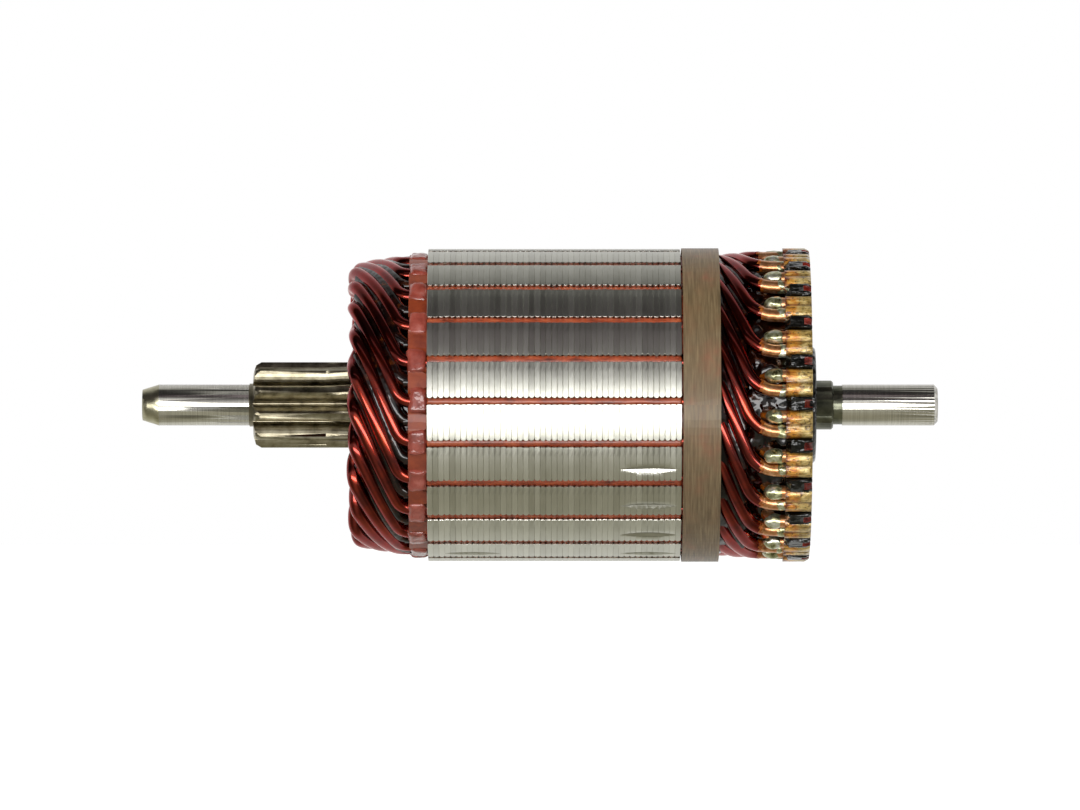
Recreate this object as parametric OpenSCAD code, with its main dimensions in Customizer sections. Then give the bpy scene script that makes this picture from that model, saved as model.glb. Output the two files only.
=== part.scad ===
// Armature of a gear-reduction starter motor, with a flat face commutator.
// The shaft lies along X: the sun gear is at the drive end, -X, and the
// commutator looks along +X. The origin is on the shaft's axis, half way along it.

/* [Shaft] */
// Diameter of the small end of the lead-in cone
tip_d = 6.0; // [5:0.1:7]
// Length of the lead-in cone
tip_len = 3.2; // [2:0.2:6]
// Diameter of the ground journal at the drive end
drive_journal_d = 8.0; // [7.4:0.1:8.3]
// Length of the ground journal at the drive end
drive_journal_len = 17.7; // [12:0.1:24]
// Diameter of the shoulder between the journal and the sun gear
shoulder_d = 8.4; // [8.3:0.1:9.5]
// Length of that shoulder
shoulder_len = 0.8; // [0.4:0.1:2]
// Diameter of the seat under the laminations
seat_d = 17.2; // [16.8:0.1:18.5]
// Number of knurl grooves along that seat
knurl_count = 32; // [16:2:40]
// Depth of a knurl groove
knurl_depth = 0.35; // [0.2:0.05:0.5]
// Diameter of the shaft between the core and the commutator
waist_d = 14.0; // [12:0.1:16]
// Diameter of the commutator's seat and of the collar beyond it
collar_d = 9.55; // [9:0.05:10.5]
// Length of the collar that stands out of the commutator
collar_len = 3.5; // [2:0.1:6]
// Diameter of the grinding groove beside the collar
groove_d = 7.6; // [7:0.1:7.9]
// Width of the grinding groove
groove_len = 1.8; // [1:0.1:3]
// Diameter of the ground journal at the commutator end
rear_journal_d = 8.0; // [7.9:0.1:9]
// Length of the ground journal at the commutator end
rear_journal_len = 18.6; // [12:0.1:24]
// Chamfer on the shaft's end at the commutator
end_chamfer = 0.7; // [0.2:0.1:1.2]

/* [Sun gear] */
// Number of teeth
gear_teeth = 10; // [9:1:11]
// Diameter over the teeth
gear_tip_d = 16.7; // [16.3:0.1:16.8]
// Diameter at the bottom of the tooth gaps
gear_root_d = 10.8; // [10.6:0.1:11.2]
// Diameter of the pitch circle
gear_pitch_d = 13.0; // [12.8:0.1:13.2]
// Pressure angle of the teeth
gear_pressure_angle = 20; // [18:1:22]
// Width of the land on top of a tooth
gear_land = 1.17; // [1:0.01:1.3]
// Length of the gear cut to full depth
gear_full_len = 14.4; // [10:0.1:16]
// Radius of the cutter where the tooth gaps run out
gear_cutter_r = 34; // [25:1:36]
// Rounding of the tooth ends towards the journal
gear_end_round = 1.5; // [1:0.1:2]

/* [Core] */
// Distance from the sun gear's face to the core
gear_to_core = 34.1; // [33:0.1:40]
// Diameter over the laminations
core_d = 60.9; // [60.7:0.05:61.1]
// Number of laminations in the stack
lamination_count = 45; // [30:1:50]
// Thickness of one lamination with its varnish
lamination_t = 1.089; // [0.9:0.001:1.2]
// Width of the groove where two laminations meet
joint_w = 0.24; // [0.1:0.02:0.4]
// Depth of that groove
joint_depth = 0.2; // [0.1:0.02:0.3]
// Width of the slot mouth between two teeth
mouth_w = 1.2; // [0.9:0.1:1.6]
// Thickness of the insulating disc at the drive end of the core
drive_disc_t = 3.6; // [2:0.1:3.8]
// Thickness of the insulating disc at the commutator end
rear_disc_t = 2.0; // [1.5:0.1:2.3]
// Radial step from the laminations down to the insulating discs
disc_step = 1.15; // [0.8:0.05:1.5]
// Length of a balancing cut in a tooth
scoop_len = 11.0; // [6:0.5:14]
// Depth of a balancing cut
scoop_depth = 0.42; // [0.2:0.02:0.5]

/* [Winding] */
// Diameter of the enamelled wire
wire_d = 2.65; // [2.5:0.01:2.66]
// Diameter of the bare ends of the wire
bare_d = 2.55; // [2.3:0.01:2.6]
// Depth of the outer layer's middle below the core's surface
layer_depth = 2.55; // [2.49:0.01:2.65]
// Radial space between the two layers inside the slots
layer_gap = 0.3; // [0.24:0.02:0.4]
// Space between neighbouring turns of the drive-end overhang
turn_gap = 0.11; // [0.08:0.01:0.3]
// How far the outer layer closes in at the drive-end overhang
overhang_drop = 1.45; // [1.3:0.05:1.6]
// Thickness of the slot liner's paper
paper_t = 0.25; // [0.2:0.01:0.27]
// Length of the folded cuffs at the drive end
drive_cuff_len = 3.9; // [3.8:0.1:4.1]
// Length of the folded cuffs at the commutator end
rear_cuff_len = 2.4; // [1.5:0.1:2.6]
// Length of the bare leads before the commutator bars
lead_len = 5.0; // [4.8:0.1:5.3]

/* [Band] */
// Width of the resin-glass band
band_w = 7.2; // [6:0.1:7.6]
// Thickness of the band
band_t = 0.7; // [0.5:0.05:0.75]
// Space between the core and the band
band_gap = 0.3; // [0.1:0.1:0.8]

/* [Commutator] */
// Distance from the core to the backs of the bars
core_to_bars = 20.0; // [19.8:0.1:21]
// How much wider the commutator is than the core
commutator_over = 0.3; // [0.1:0.1:0.7]
// Depth of a bar at its lug
bar_len = 5.1; // [4:0.1:7]
// Thickness of a bar inside the ring of lugs
bar_web_t = 3.3; // [2:0.1:3.6]
// Radius of the inner ends of the bars
bar_inner_r = 12.2; // [12:0.1:13.5]
// Width of a bar at its inner end
bar_inner_w = 1.9; // [1.4:0.1:1.95]
// Width of a bar's lug at the rim
lug_w = 5.8; // [5.5:0.05:6]
// Radius of the two rounded crests of a lug
lug_crest_r = 1.9; // [1.7:0.05:2.2]
// Radial depth of a lug
lug_depth = 6.6; // [4:0.1:7]
// Width of the slots sawn between the bars
bar_slot_w = 1.3; // [0.8:0.05:1.35]
// Depth of the slots sawn between the bars
bar_slot_depth = 1.5; // [0.8:0.1:2]
// Diameter of the moulding's nose
nose_d = 22.7; // [20:0.1:23]
// How far the nose stands out of the brush face
nose_len = 1.3; // [0.6:0.1:2]
// Diameter of the moulding's hub behind the bars
hub_d = 18.0; // [15:0.5:24]
// Length of the moulding's hub behind the bars
hub_len = 8.0; // [5:0.5:10]

/* [Hidden] */
// Slots, coils and bars of this four-pole wave winding
slots = 23;
slot_pitch = 360 / slots;
// Slots between a coil's side and the middle of its drive-end turn
turn_slots = 3;
// Slots between a coil's side and its bar
lead_slots = 2.5;
// Turn of the first slot, of the bars past the slots' middles, and of the sun gear
slot_turn = 178.6;
bar_turn = 0.87;
gear_turn = 195.3;

// Clearances
press_gap = 0.02;
liner_gap = 0.03;
wire_gap = 0.08;
cuff_gap = 0.1;

// Stations along the shaft, from the tip of the drive end
x_journal = tip_len;
x_shoulder = x_journal + drive_journal_len;
x_gear = x_shoulder + shoulder_len;
x_core = x_gear + gear_to_core;
core_len = lamination_count * lamination_t;
x_core_end = x_core + core_len;
x_bars = x_core_end + core_to_bars;
x_face = x_bars + bar_len;
x_nose = x_face + nose_len;
x_groove = x_nose + collar_len;
x_rear = x_groove + groove_len;
shaft_len = x_rear + rear_journal_len;
x_hub = x_bars - hub_len;

// Sun gear
gear_tip_r = gear_tip_d / 2;
gear_root_r = gear_root_d / 2;
gear_base_r = gear_pitch_d / 2 * cos(gear_pressure_angle);
gear_gap_top = gear_tip_r + 1;
gear_cutter_axis_r = gear_root_r + gear_cutter_r;
gear_run_out = acos((gear_cutter_axis_r - gear_tip_r) / gear_cutter_r);
gear_x_end = x_gear + gear_full_len + gear_cutter_r * sin(gear_run_out);
seat_margin = 1.0;
x_seat = gear_x_end + seat_margin;
x_waist = x_core_end + rear_disc_t + seat_margin;

// Core and slots
core_r = core_d / 2;
layer_r = core_r - layer_depth;
disc_r = core_r - disc_step;
bore_r = seat_d / 2 + press_gap;
wire_r = wire_d / 2;
bare_r = bare_d / 2;
layer_step = wire_d + layer_gap;
inner_layer_r = layer_r - layer_step;
liner_in = wire_r + wire_gap;
liner_out = liner_in + paper_t;
slot_half = liner_out + liner_gap;
cuff_half = liner_out + paper_t;
cuff_top_r = layer_r + cuff_half;
// Balancing cuts: distance from the drive face of the core, and which tooth
scoops = [[42.7, 1], [42.7, 2], [42.7, 3], [42.7, 4], [8.6, 4]];
scoop_cutter_r = scoop_len * scoop_len / (8 * scoop_depth);
scoop_half_angle = 65;
scoop_turn = 2;

// Drive-end overhang: the turns lie as close as the inner layer lets them
overhang_r = layer_r - overhang_drop;
overhang_inner_r = overhang_r - layer_step - 0.1;
overhang_helix = acos((wire_d + turn_gap) * slots / (2 * PI * overhang_r));
knuckle_turn = 0.5;
mouth_reach = 1.1;
mouth_tail = mouth_reach + 0.1;
drive_tail = drive_cuff_len + mouth_tail;
overhang_arc = overhang_r * (turn_slots * slot_pitch - knuckle_turn) * PI / 180;
x_knuckle = x_core - drive_tail - overhang_arc / tan(overhang_helix);

// Leads at the commutator end
rim_r = (core_d + commutator_over) / 2;
lead_cover = 0.6;
lead_r = rim_r - lead_cover - bare_r;
rear_tail = rear_cuff_len + mouth_tail;
lead_half_turn = asin(lug_w / 4 / lead_r);
lead_rise = 2.4;
lead_rise_end = 2.2;
lead_start = rear_tail + 1.8;
lead_bend = 5.8;
lead_reach = 4.4;
rise_reach = 1.2;

// Commutator
rim_round = 0.4;
rim_over = 1;
lug_root_r = rim_r - lug_depth;
claw_in = 2.8;
claw_r = bar_inner_r + claw_in;
claw_half = 0.8;
claw_flare = 0.5;
web_back = 2.2;
web_ledge = 0.3;

function numbered(name, k) = str(name, k < 10 ? "_0" : "_", k);
function unit(v) = v / norm(v);
function slot_angle(k) = slot_turn + k * slot_pitch;
function bar_angle(k) = slot_angle(k + 0.5) + bar_turn;

// Turns a profile drawn as [radius, station] round the shaft's axis
module turned(fn = 96)
    translate([-shaft_len / 2, 0, 0]) rotate([0, 90, 0]) rotate_extrude($fn = fn) children();

// Extrudes a section, drawn looking along the shaft, from station x
module along_shaft(x, len)
    translate([x - shaft_len / 2, 0, 0]) rotate([90, 0, 90]) linear_extrude(len) children();

// ---- Shaft and sun gear ----

module shaft_profile() {
    knee = gear_end_round * (1 - cos(45));
    polygon([
        [0, 0], [tip_d / 2, 0], [drive_journal_d / 2, x_journal],
        [drive_journal_d / 2, x_shoulder], [shoulder_d / 2, x_shoulder], [shoulder_d / 2, x_gear],
        [gear_tip_r - 1.4 * gear_end_round, x_gear],
        [gear_tip_r - 1.4 * knee, x_gear + knee],
        [gear_tip_r, x_gear + gear_end_round],
        [gear_tip_r, x_seat], [seat_d / 2, x_seat],
        [seat_d / 2, x_waist], [waist_d / 2, x_waist],
        [waist_d / 2, x_hub], [collar_d / 2, x_hub],
        [collar_d / 2, x_groove - end_chamfer / 2], [collar_d / 2 - end_chamfer / 2, x_groove],
        [groove_d / 2, x_groove], [groove_d / 2, x_rear], [rear_journal_d / 2, x_rear],
        [rear_journal_d / 2, shaft_len - end_chamfer],
        [rear_journal_d / 2 - end_chamfer, shaft_len], [0, shaft_len]]);
}

// Half of the angle that a tooth gap takes up at radius r, from the tooth's involute
function involute(r) = let (a = acos(min(1, gear_base_r / r))) tan(a) * 180 / PI - a;
function gap_half_angle(r) = 180 / gear_teeth - asin(gear_land / 2 / gear_tip_r)
    - involute(gear_tip_r) + involute(r);
function gap_half(r) = r * sin(gap_half_angle(r));

// One tooth gap, drawn as [distance outwards, distance across]: a rounded root,
// then the involute flank, carried on past the tips
module gear_gap() {
    flank_points = 5;
    step = (gear_tip_r - gear_base_r) / flank_points;
    root_half = gap_half(gear_base_r);
    root = [for (a = [15:30:75])
        [gear_root_r + root_half * (1 - cos(a)), root_half * sin(a)]];
    flank = [for (i = [0:flank_points]) let (r = gear_base_r + i * step)
        [r * cos(gap_half_angle(r)), gap_half(r)]];
    side = concat(root, flank, [[gear_gap_top, gap_half(gear_tip_r) + 1]]);
    polygon(concat(side, mirrored(side)));
}

// The cutter's path along one gap: straight, then rising out in short chords of its own radius
module gear_gap_cut() {
    chords = 3;
    chord_turn = (gear_run_out + 3) / chords;
    chord = 2 * gear_cutter_r * sin(chord_turn / 2);
    along_shaft(x_gear - 1, gear_full_len + 1) gear_gap();
    for (i = [0:chords - 1]) let (rise = i * chord_turn)
        translate([x_gear + gear_full_len + gear_cutter_r * sin(rise) - shaft_len / 2,
            gear_root_r + gear_cutter_r * (1 - cos(rise)), 0])
            rotate([0, 0, rise + chord_turn / 2]) rotate([90, 0, 90])
                linear_extrude(chord) translate([-gear_root_r, 0]) gear_gap();
}

module knurl_groove() {
    knurl_half = 0.4;
    top = seat_d / 2 + 0.2;
    polygon([[seat_d / 2 - knurl_depth, 0], [top, knurl_half], [top, -knurl_half]]);
}

module shaft() {
    color("#8f8e86") difference() {
        turned() shaft_profile();
        for (k = [0:gear_teeth - 1])
            rotate([gear_turn + (k + 0.5) * 360 / gear_teeth, 0, 0]) gear_gap_cut();
        along_shaft(x_core + 2, core_len - 4)
            for (k = [0:knurl_count - 1]) rotate(k * 360 / knurl_count) knurl_groove();
    }
}

// ---- Core ----

// A slot shape that holds both layers, with half its width given
module slot_shape(half) {
    translate([inner_layer_r, -half]) square([layer_step, 2 * half]);
    translate([inner_layer_r, 0]) circle(half, $fn = 32);
    translate([layer_r, 0]) circle(half, $fn = 32);
}

module slot_mouth() {
    translate([layer_r, -mouth_w / 2]) square([core_r - layer_r + 1, mouth_w]);
}

// The stack's half section, with a groove round it where two laminations meet
module stack_section() {
    joints = [for (n = [1:lamination_count - 1]) let (x = x_core + n * lamination_t)
        each [[core_r, x - joint_w / 2], [core_r - joint_depth, x], [core_r, x + joint_w / 2]]];
    polygon(concat([[bore_r, x_core], [core_r, x_core]], joints,
        [[core_r, x_core_end], [bore_r, x_core_end]]));
}

module slot_outlines() {
    for (k = [0:slots - 1]) rotate(slot_angle(k)) {
        slot_shape(slot_half);
        slot_mouth();
    }
}

// A wheel with a vee edge, as it dips into a tooth to balance the armature
module scoop_cutter() {
    edge = 1;
    half = edge * tan(scoop_half_angle);
    rotate([90, 0, 0]) rotate_extrude($fn = 180)
        polygon([[scoop_cutter_r - edge, -half], [scoop_cutter_r, 0], [scoop_cutter_r - edge, half]]);
}

module lamination_stack() {
    color("#9a998c") difference() {
        turned(184) stack_section();
        along_shaft(x_core - 1, core_len + 2) slot_outlines();
        for (s = scoops)
            rotate([slot_angle(s[1] + 0.5) + scoop_turn - 90, 0, 0])
                translate([x_core + s[0] - shaft_len / 2, 0, core_r - scoop_depth + scoop_cutter_r])
                    scoop_cutter();
    }
}

module insulating_disc(x, t) {
    color("#8a4030") along_shaft(x, t) difference() {
        circle(disc_r, $fn = 184);
        circle(bore_r, $fn = 96);
        for (k = [0:slots - 1]) rotate(slot_angle(k)) slot_shape(cuff_half + liner_gap);
    }
}

module slot_liner() {
    along_shaft(x_core - drive_cuff_len, drive_cuff_len + core_len + rear_cuff_len) difference() {
        slot_shape(liner_out);
        slot_shape(liner_in);
    }
}

module liner_cuff(x, len) {
    along_shaft(x, len) difference() {
        slot_shape(cuff_half);
        slot_shape(liner_in);
    }
}

module slot_liners() {
    color("#b4564a") for (k = [0:slots - 1]) rotate([slot_angle(k), 0, 0]) {
        slot_liner();
        liner_cuff(x_core - drive_cuff_len, drive_cuff_len);
        liner_cuff(x_core_end, rear_cuff_len);
    }
}

// ---- Winding ----

// A corner of the wire's path, as [station, radius, turn in degrees]. Turns are
// turned into lengths round the winding, so that a bend keeps its shape.
wrap = layer_r * PI / 180;
function corner(x, r, turn) = [x, r, turn * wrap];
function in_space(p) = let (a = p[2] / wrap) [p[0] - shaft_len / 2, p[1] * cos(a), p[1] * sin(a)];

// A bend that starts a reach before corner c and ends a reach after it
function bend(a, c, b, reach, n) =
    let (p = c + reach * unit(a - c), q = c + reach * unit(b - c))
    [for (i = [0:n]) let (t = i / n) (1 - t) * (1 - t) * p + 2 * t * (1 - t) * c + t * t * q];
function last(v) = v[len(v) - 1];
// Points between the end of one bend and the start of the next
function run(a, b, n) = [for (i = [1:n]) a + (b - a) * i / (n + 1)];

// The corners of a coil, from its outer end in one bar to its inner end in
// another, with turns counted from the slot that holds its outer side
far_side = -2 * turn_slots * slot_pitch;
outer_bar = lead_slots * slot_pitch + bar_turn;
inner_bar = far_side - lead_slots * slot_pitch + bar_turn;
coil_corners = [
    corner(x_bars, lead_r, outer_bar + lead_half_turn),
    corner(x_bars - lead_bend, lead_r, outer_bar + lead_half_turn),
    corner(x_core_end + lead_start, layer_r, 0),
    corner(x_core - drive_tail, layer_r, 0),
    corner(x_knuckle, overhang_r, -turn_slots * slot_pitch + knuckle_turn),
    corner(x_knuckle, overhang_inner_r, -turn_slots * slot_pitch - knuckle_turn),
    corner(x_core - drive_tail, inner_layer_r, far_side),
    corner(x_core_end + rear_tail, inner_layer_r, far_side),
    corner(x_bars - lead_rise_end - lead_rise, inner_layer_r, inner_bar - lead_half_turn),
    corner(x_bars - lead_rise_end, lead_r, inner_bar - lead_half_turn),
    corner(x_bars, lead_r, inner_bar - lead_half_turn)];
knuckle_reach = norm(coil_corners[5] - coil_corners[4]) / 2 - 0.05;
bend_reach = [0, lead_reach, mouth_reach, mouth_reach, knuckle_reach, knuckle_reach, mouth_reach,
    mouth_reach, rise_reach, rise_reach];
bend_steps = [0, 4, 1, 2, 2, 2, 1, 1, 1, 1];
run_steps = [0, 0, 2, 0, 2, 0, 2, 0, 2, 0];

function coil_bend(i) =
    bend(coil_corners[i - 1], coil_corners[i], coil_corners[i + 1], bend_reach[i], bend_steps[i]);
coil_path = [for (p = concat(
    [coil_corners[0]],
    [for (i = [1:len(coil_corners) - 2]) each concat(
        run_steps[i] > 0 ? run(last(coil_bend(i - 1)), coil_bend(i)[0], run_steps[i]) : [],
        coil_bend(i))],
    [last(coil_corners)])) in_space(p)];

// Rings of the wire's skin, each square to the path, carried along without twist
wire_sides = 8;
function path_direction(p, i) = unit(p[min(i + 1, len(p) - 1)] - p[max(i - 1, 0)]);
function square_to(v, t) = unit(v - (v * t) * t);
function wire_radius(p) = p[0] > x_bars - lead_len - shaft_len / 2 ? bare_r : wire_r;
function ring(p, t, n) = let (b = cross(t, n), r = wire_radius(p))
    [for (s = [0:wire_sides - 1]) let (a = (s + 0.5) * 360 / wire_sides)
        p + r * (cos(a) * n + sin(a) * b)];
coil_normals = [for (i = 0, n = [0, 1, 0]; i < len(coil_path);
    n = square_to(n, path_direction(coil_path, min(i + 1, len(coil_path) - 1))), i = i + 1) n];
coil_points = [for (i = [0:len(coil_path) - 1])
    each ring(coil_path[i], path_direction(coil_path, i), coil_normals[i])];
coil_faces = concat(
    [[for (s = [0:wire_sides - 1]) s]],
    [for (i = [0:len(coil_path) - 2], s = [0:wire_sides - 1])
        let (a = i * wire_sides + s, b = i * wire_sides + (s + 1) % wire_sides)
        each [[a, a + wire_sides, b], [b, a + wire_sides, b + wire_sides]]],
    [[for (s = [wire_sides - 1:-1:0]) (len(coil_path) - 1) * wire_sides + s]]);

module coil(k) {
    color("#8e2412") rotate([slot_angle(k - 1), 0, 0])
        polyhedron(points = coil_points, faces = coil_faces, convexity = 6);
}

module band() {
    inner = cuff_top_r + cuff_gap;
    color("#75684a") turned(184) translate([inner, x_core_end + band_gap]) square([band_t, band_w]);
}

// ---- Commutator ----

// The turned copper ring that the bars are sawn from, as [radius, station], with
// enough over at the rim for the crests of the lugs
module bar_section() {
    web = x_face - bar_web_t;
    polygon([
        [bar_inner_r, x_face], [bar_inner_r, web],
        [claw_r - claw_half, web], [claw_r - claw_half - claw_flare, x_bars],
        [claw_r + claw_half + claw_flare, x_bars], [claw_r + claw_half, web],
        [lug_root_r, web], [lug_root_r, x_bars], [rim_r + rim_over, x_bars],
        [rim_r + rim_over, x_face - 2 * (rim_round + rim_over)], [rim_r - rim_round, x_face]]);
}

// A bar seen from the brush side is a keystone, and its lug ends in two crests,
// one over each lead
crest_across = lug_w / 2 - lug_crest_r;
crest_out = sqrt(pow(rim_r - lug_crest_r, 2) - pow(crest_across, 2));
function mirrored(side) = [for (i = [len(side) - 1:-1:0]) [side[i][0], -side[i][1]]];
keystone_side = [[bar_inner_r - 1, bar_inner_w / 2], [bar_inner_r, bar_inner_w / 2],
    [crest_out, lug_w / 2]];
function crest(steps) = let (seam = 90 + asin(crest_across / lug_crest_r))
    [for (i = [1:steps]) let (a = 90 - i * seam / steps)
        [crest_out + lug_crest_r * cos(a), crest_across + lug_crest_r * sin(a)]];

module keystone(outer_r) {
    side = concat(keystone_side, [[outer_r, lug_w / 2]]);
    polygon(concat(side, mirrored(side)));
}

module bar_outline() {
    side = concat(keystone_side, crest(7));
    polygon(concat(side, [for (p = mirrored(side)) if (p[1] < -0.001) p]));
}

module commutator_bar(k) {
    color("#b98a45") rotate([bar_angle(k - 1), 0, 0]) intersection() {
        along_shaft(x_bars - 1, bar_len + 2) bar_outline();
        turned(184) bar_section();
    }
}

module moulding_section() {
    rib_slope = 1;
    polygon([
        [collar_d / 2 + press_gap, x_hub], [hub_d / 2, x_hub], [hub_d / 2, x_bars - web_back],
        [lug_root_r - 1 - web_ledge, x_bars - web_back], [lug_root_r - web_ledge, x_bars],
        [rim_r - rib_slope, x_bars], [rim_r, x_bars + rib_slope],
        [rim_r, x_face - 2 * rim_round], [rim_r - rim_round, x_face],
        [nose_d / 2, x_face], [nose_d / 2, x_nose - rim_round], [nose_d / 2 - rim_round, x_nose],
        [collar_d / 2 + press_gap, x_nose]]);
}

// The room that a bar takes in the moulding, open at the rim
module bar_pocket() {
    intersection() {
        along_shaft(x_bars - 1, bar_len + 2) keystone(rim_r + 1);
        turned(184) union() {
            bar_section();
            translate([lug_root_r, x_bars - 1]) square([lug_depth + 2, bar_len + 2]);
            translate([bar_inner_r, x_face - 0.1]) square([lug_root_r - bar_inner_r + 0.1, 1]);
        }
    }
}

module commutator_moulding() {
    slot_inner_r = nose_d / 2 + 0.2;
    color("#24231f") difference() {
        turned(184) moulding_section();
        for (k = [0:slots - 1]) {
            rotate([bar_angle(k), 0, 0]) bar_pocket();
            rotate([bar_angle(k + 0.5), 0, 0]) along_shaft(x_face - bar_slot_depth, bar_slot_depth + 1)
                translate([slot_inner_r, -bar_slot_w / 2]) square([rim_r, bar_slot_w]);
        }
    }
}

shaft();
lamination_stack();
insulating_disc(x_core - drive_disc_t, drive_disc_t);  // insulating_disc_drive
insulating_disc(x_core_end, rear_disc_t);  // insulating_disc_rear
slot_liners();
for (k = [1:slots]) {
    coil(k);
    commutator_bar(k);
}
commutator_moulding();
band();
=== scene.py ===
"""The looks of a starter motor's armature: steel, copper under red enamel, paper and resin.

Everything is in metres, in the CAD model's own frame: the shaft lies along X, with the
sun gear towards -X, and angles round it are counted from +Y towards +Z.
"""
import math
import random

import bmesh
import bpy
from mathutils import Matrix, Vector


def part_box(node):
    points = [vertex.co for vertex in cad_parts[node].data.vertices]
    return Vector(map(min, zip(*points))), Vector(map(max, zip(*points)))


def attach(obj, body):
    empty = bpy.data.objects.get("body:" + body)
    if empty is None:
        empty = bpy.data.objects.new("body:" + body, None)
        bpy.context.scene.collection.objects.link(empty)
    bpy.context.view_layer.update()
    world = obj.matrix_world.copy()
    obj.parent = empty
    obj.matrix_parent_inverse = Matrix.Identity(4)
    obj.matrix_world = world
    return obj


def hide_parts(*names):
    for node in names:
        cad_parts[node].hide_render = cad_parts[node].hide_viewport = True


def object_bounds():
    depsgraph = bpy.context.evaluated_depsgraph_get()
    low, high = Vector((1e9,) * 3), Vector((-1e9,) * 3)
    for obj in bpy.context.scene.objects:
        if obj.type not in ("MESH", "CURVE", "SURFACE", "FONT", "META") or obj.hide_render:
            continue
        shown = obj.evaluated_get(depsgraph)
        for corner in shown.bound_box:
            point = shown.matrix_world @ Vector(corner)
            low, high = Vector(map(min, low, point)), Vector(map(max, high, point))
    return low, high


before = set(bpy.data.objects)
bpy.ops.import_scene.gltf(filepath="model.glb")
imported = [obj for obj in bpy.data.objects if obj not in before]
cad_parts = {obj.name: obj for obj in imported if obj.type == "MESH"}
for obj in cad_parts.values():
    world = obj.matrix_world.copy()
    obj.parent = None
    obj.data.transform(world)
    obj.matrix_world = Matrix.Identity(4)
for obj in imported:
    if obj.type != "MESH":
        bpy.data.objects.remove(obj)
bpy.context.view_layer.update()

# ---- Sizes, in metres ----

MM = 0.001
SLOTS = 23
PITCH = 2 * math.pi / SLOTS
SLOT_TURN = math.radians(178.6)
BAR_TURN = math.radians(0.87)

CORE_START, CORE_END = (corner.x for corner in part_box("lamination_stack"))
BARS_BACK, BARS_FACE = (corner.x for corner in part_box("commutator_bar_01"))
BAND_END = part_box("band")[1].x
SHAFT_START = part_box("shaft")[0].x
GEAR_FACE = SHAFT_START + 21.7 * MM
COLLAR_END = SHAFT_START + 136.5 * MM
CONE_END = SHAFT_START + 3.25 * MM

CORE_R = 30.45 * MM
SHEETS = 45
SHEET_PITCH = (CORE_END - CORE_START) / SHEETS
MOUTH_W = 1.2 * MM
SLOT_W = 3.37 * MM
SLOT_TOP_R = 29.4 * MM
SLOT_FLOOR_R = 23.2 * MM
BORE_R = 8.6 * MM

WIRE_R = 1.325 * MM
BARE_R = 1.275 * MM
LAYER_R = 27.9 * MM
INNER_LAYER_R = 24.95 * MM
OVERHANG_R = 26.45 * MM
INNER_OVERHANG_R = 23.4 * MM
LEAD_R = 28.725 * MM
DRIVE_TURN = math.radians(46.457)
RETURN_TURN = math.radians(47.457)
FAR_TURN = -6 * PITCH
LEAD_TURN = 2.5 * PITCH + BAR_TURN
LEAD_HALF_TURN = math.radians(2.893)
KNUCKLE_X = CORE_START - 13.965 * MM
KNUCKLE_LEAN = math.radians(3)
DRIVE_TAIL = 5.1 * MM
REAR_TAIL = 3.6 * MM
LEAD_START = 5.4 * MM
LEAD_BEND = 5.8 * MM
LEAD_REACH = 4.4 * MM
ENAMEL_END = BARS_BACK - 4.9 * MM
CUT_RING = 0.55 * MM

CUFF_HALF = 1.905 * MM
CUFF_SHOULDER = 0.75 * MM
CUFF_TOP_R = LAYER_R + CUFF_HALF
DRIVE_CUFF = 3.9 * MM
REAR_CUFF = 2.4 * MM

SCOOP_LENGTH = 11 * MM
SCOOP_DEPTH = 0.42 * MM
SCOOP_VEE = math.radians(65)
SCOOP_TURN = math.radians(2)
REAR_SCOOPS = 98.5 * MM
DRIVE_SCOOP = 64.4 * MM

FACE_SLOT_HALF = 0.72 * MM
FACE_SLOT_DEPTH = 1.56 * MM
FACE_SLOT_FROM_R = 11.3 * MM

FLOOR_DROP = 45 * MM
CAMERA_DISTANCE = 1.716
LENS_MM = 293
SENSOR_MM = 36

rng = random.Random(23)


def slot_angle(k):
    return SLOT_TURN + k * PITCH


def bar_angle(k):
    return slot_angle(k + 0.5) + BAR_TURN


# ---- Small helpers ----

def deselect():
    for obj in bpy.context.selected_objects:
        obj.select_set(False)


def activate(obj):
    deselect()
    obj.select_set(True)
    bpy.context.view_layer.objects.active = obj


def apply_place(obj):
    """Puts an object's turn, scale and place into its mesh."""
    activate(obj)
    bpy.ops.object.transform_apply(location=True, rotation=True, scale=True)


def edit(obj):
    activate(obj)
    bpy.ops.object.mode_set(mode="EDIT")


def leave_edit():
    bpy.ops.object.mode_set(mode="OBJECT")


def pick(obj, kind, test):
    """In edit mode, selects the vertices, edges or faces that pass a test."""
    bpy.ops.mesh.select_mode(type=kind)
    bpy.ops.mesh.select_all(action="DESELECT")
    mesh = bmesh.from_edit_mesh(obj.data)
    for element in {"VERT": mesh.verts, "EDGE": mesh.edges, "FACE": mesh.faces}[kind]:
        if test(element):
            element.select_set(True)
    bmesh.update_edit_mesh(obj.data)


def apply_modifier(obj, kind, **settings):
    activate(obj)
    modifier = obj.modifiers.new(kind.lower(), kind)
    for name, value in settings.items():
        setattr(modifier, name, value)
    bpy.ops.object.modifier_apply(modifier=modifier.name)


def merge_and_face_out(obj):
    edit(obj)
    bpy.ops.mesh.select_all(action="SELECT")
    bpy.ops.mesh.remove_doubles(threshold=0.001 * MM)
    bpy.ops.mesh.normals_make_consistent(inside=False)
    leave_edit()


def smooth(obj, degrees=35):
    activate(obj)
    bpy.ops.object.shade_smooth_by_angle(angle=math.radians(degrees))


def copy_of(obj, name, turn=0.0, shift=0.0):
    """A copy with its own mesh, turned about the shaft's axis and moved along it."""
    copy = obj.copy()
    copy.data = obj.data.copy()
    copy.name = name
    bpy.context.scene.collection.objects.link(copy)
    copy.data.transform(Matrix.Translation((shift, 0, 0)) @ Matrix.Rotation(turn, 4, "X"))
    return copy


def join(objects, name):
    activate(objects[0])
    for obj in objects[1:]:
        obj.select_set(True)
    bpy.ops.object.join()
    objects[0].name = name
    return objects[0]


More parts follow.
